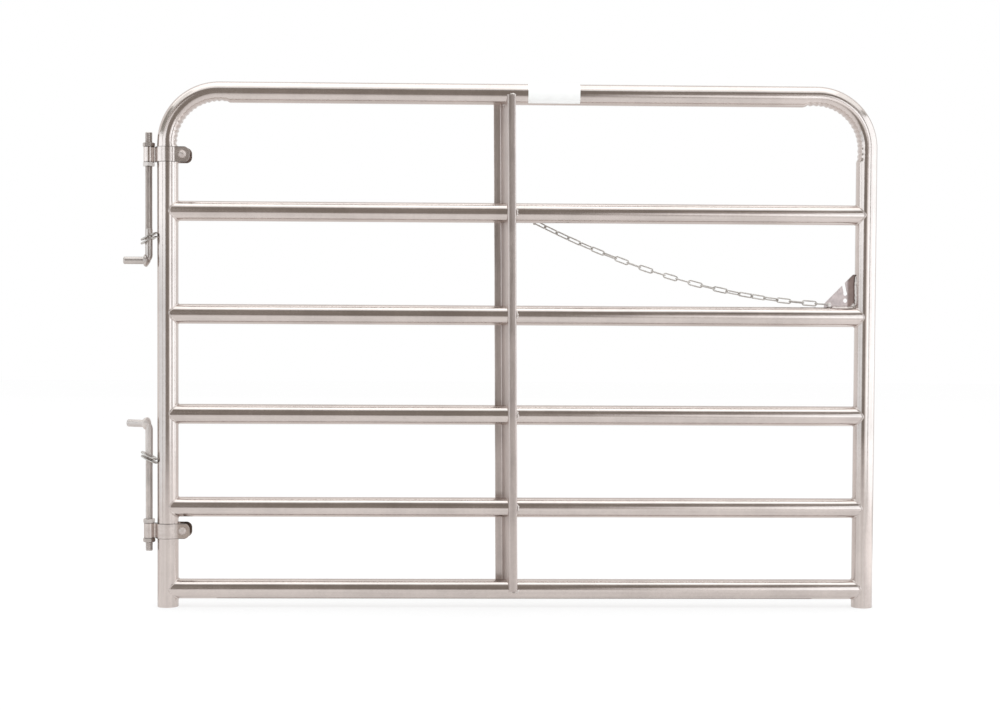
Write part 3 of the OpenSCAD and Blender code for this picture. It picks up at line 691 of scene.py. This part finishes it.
class GATE_OT_frame_tube(bpy.types.Operator):
    """Lays the bent tube with its crimped bends"""
    bl_idname = "gate.frame_tube"
    bl_label = "Frame tube"

    def execute(self, context):
        make_piece("bent_tube", frame_tube_parts(context.scene.gate_sizes), finish("tube_zinc"),
                   "gate", ["frame_tube"], sharp=50)
        return {"FINISHED"}


class GATE_OT_rails(bpy.types.Operator):
    """Lays the five rails between the posts"""
    bl_idname = "gate.rails"
    bl_label = "Rails"

    def execute(self, context):
        for i, (name, z) in enumerate(zip(RAIL_NAMES, RAIL_Z)):
            make_piece(f"{name}_tube", rail_parts(z, 20 + i, context.scene.gate_sizes.around),
                       finish("tube_zinc"), "gate", [name], sharp=50)
        return {"FINISHED"}


class GATE_OT_brace(bpy.types.Operator):
    """Folds the brace"""
    bl_idname = "gate.brace"
    bl_label = "Brace"

    def execute(self, context):
        make_piece("folded_brace", brace_parts(context.scene.gate_sizes), finish("sheet_zinc"),
                   "gate", ["z_brace"], sharp=40)
        return {"FINISHED"}


class GATE_OT_welds(bpy.types.Operator):
    """Runs the weld beads"""
    bl_idname = "gate.welds"
    bl_label = "Welds"

    def execute(self, context):
        sizes = context.scene.gate_sizes
        for name, x, side, seed in (("left_welds", LEFT_X, 1, 40), ("right_welds", RIGHT_X, -1, 50)):
            beads = [saddle_bead(x, side, z, sizes, seed + i) for i, z in enumerate(RAIL_Z)]
            make_piece(name + "_beads", beads, finish("coated_bead"), "gate", [name])
        self.brace_beads(sizes)
        self.plate_beads(sizes)
        return {"FINISHED"}

    def brace_beads(self, sizes):
        """A bead beside the front flange on each rail but the lowest, one over the brace's top, one under
        its foot, and a tack under the top bar."""
        out_x = BRACE_SLANT / 2 + BRACE_FRONT
        beads = [crossing_bead(brace_x(z) + out_x - 0.0025, z, RAIL_R, sizes, 60 + i)
                 for i, z in enumerate(RAIL_Z[:-1])]
        share = np.linspace(-1, 1, BEAD_ROWS)
        # Each end: height, bow, half its width, depth, how high the bead stands, and the seed
        ends = ((BRACE_HI.z, 0.004, 0.0085, -TUBE_R - 0.0005, 0.8, 70),
                (BRACE_LO.z, -0.006, 0.0125, -RAIL_R, 1.3, 71))
        for z, bow, half, y, height, seed in ends:
            x = brace_x(z) + out_x - BRACE_FRONT / 2 + 0.001 + half * share
            path = np.stack([x, np.full(BEAD_ROWS, y), z + 0.25 * bow - bow * share ** 2], 1)
            out = np.repeat([[0, -0.7, math.copysign(0.7, bow)]], BEAD_ROWS, 0)
            beads.append(bead_parts(path, out, sizes, seed, False, 0.9, height, 0.45))
        tack_x, tack_z = brace_x(TOP_Z), TOP_Z - TUBE_R
        beads.append(line_bead((tack_x - 0.004, 0.0, tack_z), (tack_x + 0.002, -0.006, tack_z),
                               (-0.6, -0.6, -0.5), sizes, 72, 0.9, 0.9))
        make_piece("brace_weld_beads", beads, finish("brace_bead"), "gate", ["brace_welds"])

    def plate_beads(self, sizes):
        """On both faces of the latch plate: a bead along the rail, one up the post, one across the corner
        between them, and a lump over the last link's end."""
        lo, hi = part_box("latch_plate")
        lump_lo, lump_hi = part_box("anchor_weld")
        lump_x, lump_z = (lump_lo.x + lump_hi.x) / 2, (lump_lo.z + lump_hi.z) / 2
        corner = 0.009
        feet, lumps = [], []
        for i, face in enumerate((lo.y, hi.y)):
            out = math.copysign(0.7, face)
            foot_y, foot_z = face + out * 0.006, lo.z - 0.001
            side_x, side_y = hi.x + 0.0012, face + out * 0.007
            feet.append(line_bead((lump_hi.x, foot_y, foot_z), (hi.x - 0.004, foot_y, foot_z),
                                  (0, out, 0.7), sizes, 80 + i, 1.6, 0.9))
            feet.append(line_bead((side_x, side_y, lo.z + 0.004), (side_x, side_y, hi.z - 0.003),
                                  (-0.7, out, 0), sizes, 84 + i, 1.45, 0.9))
            feet.append(line_bead((hi.x - corner + 0.001, face, lo.z), (hi.x, face, lo.z + corner - 0.001),
                                  (-0.3, out, 0.3), sizes, 88 + i, 2.4, 0.9))
            lumps.append(line_bead((lump_x - 0.003, face * 1.6, lump_z + 0.004), (lump_x + 0.001, face, lo.z),
                                   (0, out, 0.1), sizes, 92 + i, 1.8, 1.4))
        make_piece("plate_weld_beads", feet, finish("plate_bead"), "gate", ["plate_welds"])
        make_piece("anchor_weld_bead", lumps, finish("bright_bead"), "gate", ["anchor_weld"])


class GATE_OT_hook_bolts(bpy.types.Operator):
    """Forms the two hook bolts with their threads and collars"""
    bl_idname = "gate.hook_bolts"
    bl_label = "Hook bolts"

    def execute(self, context):
        for seed, which in enumerate(("upper", "lower")):
            node = which + "_hook_bolt"
            lo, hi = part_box(node)
            z_end, z_pin = (hi.z, lo.z + COLLAR_R) if which == "upper" else (lo.z, hi.z - COLLAR_R)
            mount = MOUNTS[which + "_hook_pin"]
            out_dir = np.array(mount["axis"])
            pin_len = np.array(mount["pos_m"]) @ out_dir + mount["dims"]["length_mm"] / 2000 + ROD_CHAMFER
            parts = hook_bolt_parts(z_end, z_pin, out_dir, pin_len, context.scene.gate_sizes, seed)
            make_piece(node + "_threaded", parts, finish(which + "_bolt_zinc"), which + "_hook",
                       [node], sharp=60)
        return {"FINISHED"}


class GATE_OT_fittings(bpy.types.Operator):
    """Gives the straps, nuts, washers, latch plate, chain and label their finishes"""
    bl_idname = "gate.fittings"
    bl_label = "Fittings"

    def execute(self, context):
        nodes = frame["nodes"]
        # Tints: painted shade for the straps' edges, a darker tone for the lower strap's ears, and painted
        # shade on the plate beside the post
        painted_edge_shade, ear_tint, painted_post_shade = (0.3, 0.3, 0.3), (0.66, 0.62, 0.58), (0.44, 0.38, 0.35)
        for name in ("upper_strap", "lower_strap"):
            lo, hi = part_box(name)
            half = (hi.z - lo.z) / 2
            # Painted shade: a strap is darkened along its top and bottom edges
            metal = darkened(finish(name + "_zinc"), "Z", (lo.z + hi.z) / 2, half - 0.0016, half - 0.0006,
                             painted_edge_shade)
            if name == "lower_strap":
                # Its ears are darker than its band
                metal = darkened(metal, "X", lo.x, LEFT_X + 0.022 - lo.x, LEFT_X + 0.03 - lo.x, ear_tint)
            dress(metal, name)
        dress(finish("fastener_zinc"), *[n for n in nodes if "nut" in n])
        dress(finish("washer_zinc"), *[n for n in nodes if "washer" in n])
        dress(finish("bolt_head"), *[n for n in nodes if "strap_bolt" in n])
        lo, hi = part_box("latch_plate")
        # Painted shade: the plate is darkened, in a warm tint, beside the post
        wide = hi.x - lo.x
        metal = darkened(finish("plate_zinc"), "X", lo.x, wide - 0.022, wide - 0.014, painted_post_shade)
        dress(metal, "latch_plate")
        dress(finish("chain_zinc"), *[n for n in nodes if n.startswith("chain_")])
        dress(finish("label_film"), "label")
        return {"FINISHED"}


def area_light(name, place, aim, size, power):
    """A soft box at place that shines towards aim."""
    light = bpy.data.lights.new(name, "AREA")
    light.shape = "RECTANGLE"
    light.size, light.size_y = size
    light.energy = power
    light.color = (0.9, 0.97, 1.0)
    obj = new_object(name, light)
    back = unit(np.array(place, float) - np.array(aim, float))
    side = unit(np.cross(BACK if abs(back[2]) > 0.9 else UP, back))
    turned = np.column_stack([side, np.cross(back, side), back])
    obj.matrix_world = Matrix.Translation(place) @ Matrix(turned.tolist()).to_4x4()


def flat_card(name, corners, material):
    """A flat stage card through four corners."""
    mesh = bpy.data.meshes.new(name)
    mesh.from_pydata(corners, [], [(0, 1, 2, 3)])
    mesh.materials.append(material)
    obj = new_object(name, mesh)
    return obj


def glow_material(name, glow):
    """A plain glow, the same from every side."""
    material, _, shader = new_material("studio_" + name)
    shader.inputs["Base Color"].default_value = (0, 0, 0, 1)
    shader.inputs["Specular IOR Level"].default_value = 0.0
    shader.inputs["Emission Color"].default_value = (*glow, 1)
    shader.inputs["Emission Strength"].default_value = 1.0
    return material


def reflected_only(card):
    """Hides a stage card from everything but the reflections."""
    card.visible_camera = False
    card.visible_diffuse = False
    card.visible_shadow = False


def glow_card(name, corners, glow):
    """A card of one glow that only the reflections show."""
    reflected_only(flat_card(name, corners, glow_material(name, glow)))


def upright_card(name, a, b, z0, z1, glow):
    """A standing card of one glow, from plan point a to b."""
    glow_card(name, standing(a, b, z0, z1), glow)


def fade_card(name, corners, axis, start, end, glow):
    """A card that only the reflections show: its glow runs from glow[0] to glow[1], from start to end
    on an axis."""
    material = glow_material(name, glow[0])
    tree = material.node_tree
    where = add_node(tree, "TexCoord", (-900, 0))
    split = add_node(tree, "SeparateXYZ", (-700, 0))
    fade = add_node(tree, "MapRange", (-500, 0), interpolation_type="SMOOTHSTEP",
                    in_From_Min=start, in_From_Max=end)
    tone = add_node(tree, "Mix", (-300, 0), data_type="RGBA", in_A=(*glow[0], 1), in_B=(*glow[1], 1))
    link = tree.links.new
    link(where.outputs["Object"], split.inputs[0])
    link(split.outputs[axis], fade.inputs["Value"])
    link(fade.outputs["Result"], tone.inputs["Factor"])
    link(tone.outputs["Result"], tree.nodes["Principled BSDF"].inputs["Emission Color"])
    reflected_only(flat_card(name, corners, material))


def standing(a, b, z0, z1):
    """Corners of a standing card from plan point a to b."""
    return [(*a, z0), (*b, z0), (*b, z1), (*a, z1)]


def lying(y0, y1, z0, z1):
    """Corners of a card across the whole stage, z0 high at y0 and z1 high at y1."""
    return [(-6, y0, z0), (8, y0, z0), (8, y1, z1), (-6, y1, z1)]


def floor_patch(x0, y0, x1, y1, z):
    """Corners of a level patch from (x0, y0) to (x1, y1)."""
    return [(x0, y0, z), (x1, y0, z), (x1, y1, z), (x0, y1, z)]


def seen_white(tree, plain, white, target, share):
    """Mixes a white into what camera, glossy and transmission rays see, by share. Other rays see the
    plain one."""
    rays = add_node(tree, "LightPath", (-900, -200))
    straight = add_node(tree, "Math", (-700, -200), operation="MAXIMUM")
    every = add_node(tree, "Math", (-500, -200), operation="MAXIMUM")
    part = add_node(tree, "Math", (-300, -200), operation="MULTIPLY")
    part.inputs[1].default_value = share
    mix = add_node(tree, "MixShader", (200, 0))
    link = tree.links.new
    link(rays.outputs["Is Camera Ray"], straight.inputs[0])
    link(rays.outputs["Is Glossy Ray"], straight.inputs[1])
    link(straight.outputs[0], every.inputs[0])
    link(rays.outputs["Is Transmission Ray"], every.inputs[1])
    link(every.outputs[0], part.inputs[0])
    link(part.outputs[0], mix.inputs[0])
    link(plain, mix.inputs[1])
    link(white, mix.inputs[2])
    link(mix.outputs[0], target)


def studio_camera():
    """The camera of the photograph: 3.8 m in front, nearly square on, at about half the gate's height."""
    yaw, pitch, roll = math.radians(1.3536), math.radians(1.6387), math.radians(-0.3079)
    ahead = np.array([math.sin(yaw) * math.cos(pitch), math.cos(yaw) * math.cos(pitch), -math.sin(pitch)])
    level = np.array([math.cos(yaw), -math.sin(yaw), 0.0])
    low = np.cross(ahead, level)
    right = math.cos(roll) * level + math.sin(roll) * low
    down = -math.sin(roll) * level + math.cos(roll) * low
    lens = bpy.data.cameras.new("camera")
    lens.sensor_fit = "HORIZONTAL"
    lens.sensor_width = 36.0
    focal_px, picture_px = 1564.12, 1000.0
    lens.lens = lens.sensor_width * focal_px / picture_px
    camera = new_object("camera", lens)
    turned = np.column_stack([right, -down, -ahead])
    place = (LEFT_X + 0.7137, -3.8, 0.7227)
    camera.matrix_world = Matrix.Translation(place) @ Matrix(turned.tolist()).to_4x4()
    bpy.context.scene.camera = camera


def studio_world(scene):
    """An even white all round."""
    world = bpy.data.worlds.new("studio")
    scene.world = world
    world.use_nodes = True
    tree = world.node_tree
    tree.nodes.clear()
    around = add_node(tree, "Background", (0, 100), in_Strength=1.0, in_Color=(1, 1, 1, 1))
    white = add_node(tree, "Background", (0, -100), in_Strength=1.0, in_Color=(1, 1, 1, 1))
    out = add_node(tree, "OutputWorld", (400, 0))
    seen_white(tree, around.outputs[0], white.outputs[0], out.inputs["Surface"], 1.0)


def studio_floor(colour):
    """A pale floor that keeps the gate's shadow, seen as nearly white."""
    pale, tree, shader = new_material("studio_floor")
    shader.inputs["Base Color"].default_value = (*colour, 1)
    shader.inputs["Roughness"].default_value = 0.9
    shader.inputs["Specular IOR Level"].default_value = 0.1
    glow = add_node(tree, "Emission", (0, -300), in_Strength=1.0, in_Color=(1, 1, 1, 1))
    surface = tree.nodes["Material Output"].inputs["Surface"]
    seen_white(tree, shader.outputs[0], glow.outputs[0], surface, 0.7)
    flat_card("floor", floor_patch(-12, -12, 14, 12, 0), pale)


def studio_cards():
    """The flags, panels and patches that only the gate's reflections show, among them painted light and shade
    on the floor.
    """
    dark, right_glow = (0.315, 0.287, 0.26), (1.8, 1.92, 2.0)
    left_glow = (1.12, 1.2, 1.25), (1.63, 1.74, 1.81)
    front, low, high = -3.5, 1.4, 2.5
    # In front: dark from the left to past the middle, paler to the right
    upright_card("low_flag", (-0.95, front), (1.15, front), 0.0, high, dark)
    fade_card("right_fade", standing((1.15, front), (2.3, front), 0.0, low), "X", 1.15, 2.0,
              (dark, (1.35, 1.36, 1.37)))
    fade_card("right_high_fade", standing((1.15, front), (2.64, front), low, high), "X", 1.5, 3.0,
              (dark, (0.9, 0.88, 0.87)))
    upright_card("high_flag", (-2.6, front), (4.0, front), high, 7.0, dark)
    # At the left: two panels, paler above, with a flag over them and a light stand before them
    fade_card("left_front_panel", standing((-1.0, -3.6), (-2.2, -1.6), 0.0, 1.7), "Z", 0.7, 1.15,
              left_glow)
    fade_card("left_panel", standing((-2.2, -1.6), (-2.2, 0.3), 0.0, 1.7), "Z", 0.7, 1.15, left_glow)
    upright_card("left_high_flag", (-2.2, -2.4), (-2.2, 0.3), 1.7, 5.0, (0.4, 0.4, 0.37))
    upright_card("left_stand", (-1.32, -1.16), (-1.18, -1.22), 0.0, high, (0.45, 0.43, 0.42))
    # At the right: the bright panels, with a flag over them and a light stand before them
    upright_card("right_front_panel", (2.3, front), (3.7, -3.3), 0.0, low, right_glow)
    upright_card("right_front_high", (2.64, front), (3.7, -3.3), low, high, right_glow)
    upright_card("right_panel", (3.7, -3.3), (3.9, 1.2), 0.0, high, right_glow)
    upright_card("right_high_flag", (3.7, -2.6), (3.9, 1.2), high, 5.0, (0.5, 0.5, 0.48))
    upright_card("right_stand", (3.083, -1.719), (3.51, -3.065), 0.0, high, (0.5, 0.48, 0.47))
    # Above and below
    fade_card("ceiling", lying(0.55, 9, 2.6, 4.6), "Y", 0.55, 5.0, ((1.1, 1.09, 1.08), (0.8, 0.79, 0.78)))
    # Painted light: a brighter pool on the floor to the right of the gate, which only the reflections show
    fade_card("floor_right_light_pool", floor_patch(1.78, -1.2, 4, 0.6, 0.0015), "X", 1.8, 2.35,
              ((1.08, 1.08, 1.09), (1.45, 1.45, 1.46)))
    # Painted shadow: a dark strip on the floor under the gate, which only the reflections show
    glow_card("floor_shadow_strip", floor_patch(0.16, 0.0, 1.62, 0.025, 0.0012), (0.42, 0.4, 0.38))
    glow_card("floor_back", lying(0.05, 9, 0.001, 0.001), (0.9, 0.88, 0.87))
    # Painted shade: the floor darker towards the camera, and paler again to the right, which only the
    # reflections show
    fade_card("floor_front", floor_patch(-6, -1.6, 1.6, -6.6, 0.001), "Y", -1.6, -4.6,
              ((1.0, 1.0, 1.0), (0.36, 0.33, 0.31)))
    fade_card("floor_front_right", floor_patch(1.6, -2.4, 2.8, -6.6, 0.001), "X", 1.6, 2.4,
              ((0.5, 0.48, 0.47), (1.0, 1.0, 1.0)))
    fade_card("soft_edge", lying(-1.05, -2.3, 2.4, 3.1), "Y", -1.05, -2.3, ((1.3, 1.36, 1.4), dark))


class GATE_OT_stage(bpy.types.Operator):
    """Sets the pale floor, the soft light, the cards that the metal reflects and the camera"""
    bl_idname = "gate.stage"
    bl_label = "Stage"

    def execute(self, context):
        scene = context.scene
        scene.view_settings.view_transform = "Standard"
        studio_world(scene)
        studio_floor(scene.gate_colours.floor)
        studio_cards()
        area_light("soft_box", (0.9, -0.25, 2.4), (0.9, -0.25, 0.0), (4.8, 1.6), 26)
        studio_camera()
        return {"FINISHED"}


class GATE_PT_panel(bpy.types.Panel):
    """Lists the pieces of the gate"""
    bl_label = "Field gate"
    bl_space_type = "VIEW_3D"
    bl_region_type = "UI"
    bl_category = "Gate"

    def draw(self, context):
        for step in STEPS:
            self.layout.operator(step.bl_idname)
        for group in (context.scene.gate_sizes, context.scene.gate_colours):
            for name in group.__annotations__:
                self.layout.prop(group, name)


STEPS = (GATE_OT_stage, GATE_OT_frame_tube, GATE_OT_rails, GATE_OT_brace, GATE_OT_welds, GATE_OT_hook_bolts,
         GATE_OT_fittings)
CLASSES = (GateSizes, GateColours, *STEPS, GATE_PT_panel)


def register():
    for cls in CLASSES:
        bpy.utils.register_class(cls)
    bpy.types.Scene.gate_sizes = PointerProperty(type=GateSizes)
    bpy.types.Scene.gate_colours = PointerProperty(type=GateColours)


def unregister():
    del bpy.types.Scene.gate_colours
    del bpy.types.Scene.gate_sizes
    for cls in reversed(CLASSES):
        bpy.utils.unregister_class(cls)


def main():
    register()
    for step in STEPS:
        group, name = step.bl_idname.split(".")
        getattr(getattr(bpy.ops, group), name)()


if __name__ == "__main__":
    main()
